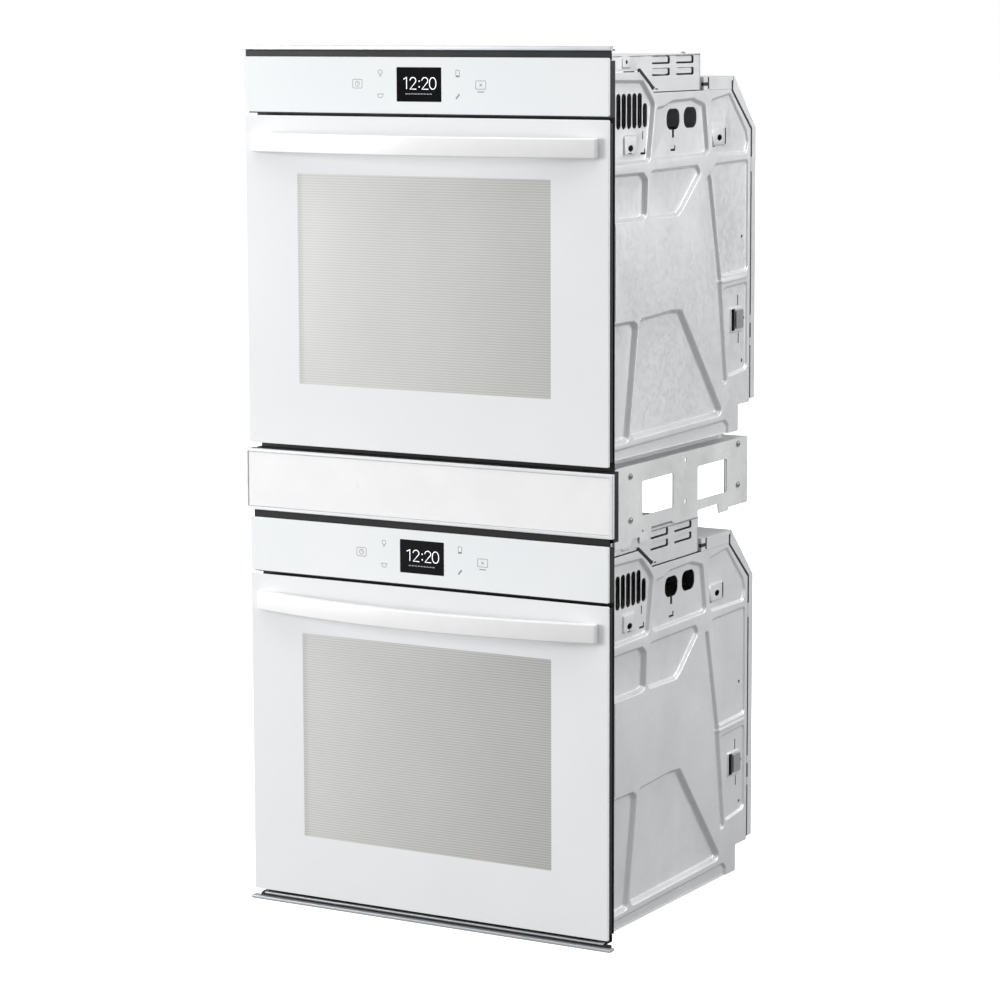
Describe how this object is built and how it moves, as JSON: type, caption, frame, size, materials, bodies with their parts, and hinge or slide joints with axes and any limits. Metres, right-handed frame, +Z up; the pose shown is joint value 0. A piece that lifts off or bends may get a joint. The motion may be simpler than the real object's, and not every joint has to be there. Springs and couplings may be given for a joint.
{
  "type": "wall oven",
  "caption": "Built-in double wall oven: white glass doors with windows and bowed handles, touch control panels, spacer panel, trims and a pressed galvanised casing.",
  "frame": {"origin": "centre of the flat underside of the lower base pan, on the plane of the cabinet shelf that carries the oven", "axes": "+Z up, the front and the doors face -Y, +X is the right-hand side seen from the front"},
  "size_m": [0.617, 0.5313, 1.278],
  "materials": {
    "white_glass": "back-painted white glass, polished, with a cool cast",
    "white_paint": "white paint, satin to gloss",
    "black_frame": "black enamelled steel, satin",
    "display": "black display glass, polished",
    "window_glass": "grey glass with a fine printed pattern",
    "galvanised": "galvanised sheet steel, faint spangle, satin",
    "bright_trim": "brushed metal trim",
    "oven_enamel": "speckled grey porcelain enamel, gloss",
    "rack_chrome": "plated wire, bright",
    "element_sheath": "heat-darkened sheath, matte",
    "bare_steel": "plain steel, satin",
    "lamp_glass": "frosted warm glass cap",
    "seal_rubber": "woven heat-proof seal, matte"
  },
  "bodies": {
    "casing": {"lower_side_panel_left": "galvanised", "lower_side_panel_right": "galvanised", "lower_top_cover": "galvanised", "lower_vent_duct": "galvanised", "lower_back_cover": "galvanised", "lower_base_pan": "galvanised", "lower_front_frame": "black_frame", "lower_cavity": "oven_enamel", "lower_bake_element": "element_sheath", "lower_broil_element": "element_sheath", "lower_fan_cover": "oven_enamel", "lower_convection_motor": "bare_steel", "lower_oven_light": "lamp_glass", "lower_blower_housing": "galvanised", "lower_control_panel": "white_glass", "lower_display_module": "display", "lower_hinge_left": "bare_steel", "lower_hinge_right": "bare_steel", "lower_door_gasket": "seal_rubber", "upper_side_panel_left": "galvanised", "upper_side_panel_right": "galvanised", "upper_top_cover": "galvanised", "upper_vent_duct": "galvanised", "upper_back_cover": "galvanised", "upper_base_pan": "galvanised", "upper_front_frame": "black_frame", "upper_cavity": "oven_enamel", "upper_bake_element": "element_sheath", "upper_broil_element": "element_sheath", "upper_fan_cover": "oven_enamel", "upper_convection_motor": "bare_steel", "upper_oven_light": "lamp_glass", "upper_blower_housing": "galvanised", "upper_control_panel": "white_glass", "upper_display_module": "display", "upper_hinge_left": "bare_steel", "upper_hinge_right": "bare_steel", "upper_door_gasket": "seal_rubber", "spacer_bracket_left": "galvanised", "spacer_bracket_right": "galvanised", "spacer_panel": "white_paint", "spacer_backing": "black_frame", "top_trim": "bright_trim", "bottom_trim": "bright_trim"},
    "lower_door": {"lower_door_glass": "white_glass", "lower_door_frame": "black_frame", "lower_inner_glass": "window_glass", "lower_handle": "white_paint"},
    "lower_low_rack": {"lower_rack_lower": "rack_chrome"},
    "lower_high_rack": {"lower_rack_upper": "rack_chrome"},
    "lower_fan": {"lower_convection_fan": "bare_steel"},
    "lower_blower": {"lower_blower_wheel": "bare_steel"},
    "upper_door": {"upper_door_glass": "white_glass", "upper_door_frame": "black_frame", "upper_inner_glass": "window_glass", "upper_handle": "white_paint"},
    "upper_low_rack": {"upper_rack_lower": "rack_chrome"},
    "upper_high_rack": {"upper_rack_upper": "rack_chrome"},
    "upper_fan": {"upper_convection_fan": "bare_steel"},
    "upper_blower": {"upper_blower_wheel": "bare_steel"}
  },
  "joints": [
    {"name": "lower_door_hinge", "type": "hinge", "parent": "casing", "child": "lower_door", "pos_m": [0, -0.225, 0.0193], "axis": [1, 0, 0], "range_deg": [0, 90]},
    {"name": "lower_low_rack_slide", "type": "slide", "parent": "casing", "child": "lower_low_rack", "axis": [0, -1, 0], "range_m": [0, 0.18]},
    {"name": "lower_high_rack_slide", "type": "slide", "parent": "casing", "child": "lower_high_rack", "axis": [0, -1, 0], "range_m": [0, 0.18]},
    {"name": "lower_fan_spin", "type": "hinge", "parent": "casing", "child": "lower_fan", "pos_m": [0, 0.165, 0.2413], "axis": [0, 1, 0], "continuous": true},
    {"name": "lower_blower_spin", "type": "hinge", "parent": "casing", "child": "lower_blower", "pos_m": [0, 0.117, 0.4873], "axis": [1, 0, 0], "continuous": true},
    {"name": "upper_door_hinge", "type": "hinge", "parent": "casing", "child": "upper_door", "pos_m": [0, -0.225, 0.6984], "axis": [1, 0, 0], "range_deg": [0, 90]},
    {"name": "upper_low_rack_slide", "type": "slide", "parent": "casing", "child": "upper_low_rack", "axis": [0, -1, 0], "range_m": [0, 0.18]},
    {"name": "upper_high_rack_slide", "type": "slide", "parent": "casing", "child": "upper_high_rack", "axis": [0, -1, 0], "range_m": [0, 0.18]},
    {"name": "upper_fan_spin", "type": "hinge", "parent": "casing", "child": "upper_fan", "pos_m": [0, 0.165, 0.9204], "axis": [0, 1, 0], "continuous": true},
    {"name": "upper_blower_spin", "type": "hinge", "parent": "casing", "child": "upper_blower", "pos_m": [0, 0.117, 1.1664], "axis": [1, 0, 0], "continuous": true}
  ],
  "couplings": [
    {"joint": "lower_low_rack_slide", "follows": "lower_door_hinge", "m_per_rad": 0.11},
    {"joint": "lower_high_rack_slide", "follows": "lower_door_hinge", "m_per_rad": 0.11},
    {"joint": "upper_low_rack_slide", "follows": "upper_door_hinge", "m_per_rad": 0.11},
    {"joint": "upper_high_rack_slide", "follows": "upper_door_hinge", "m_per_rad": 0.11}
  ]
}
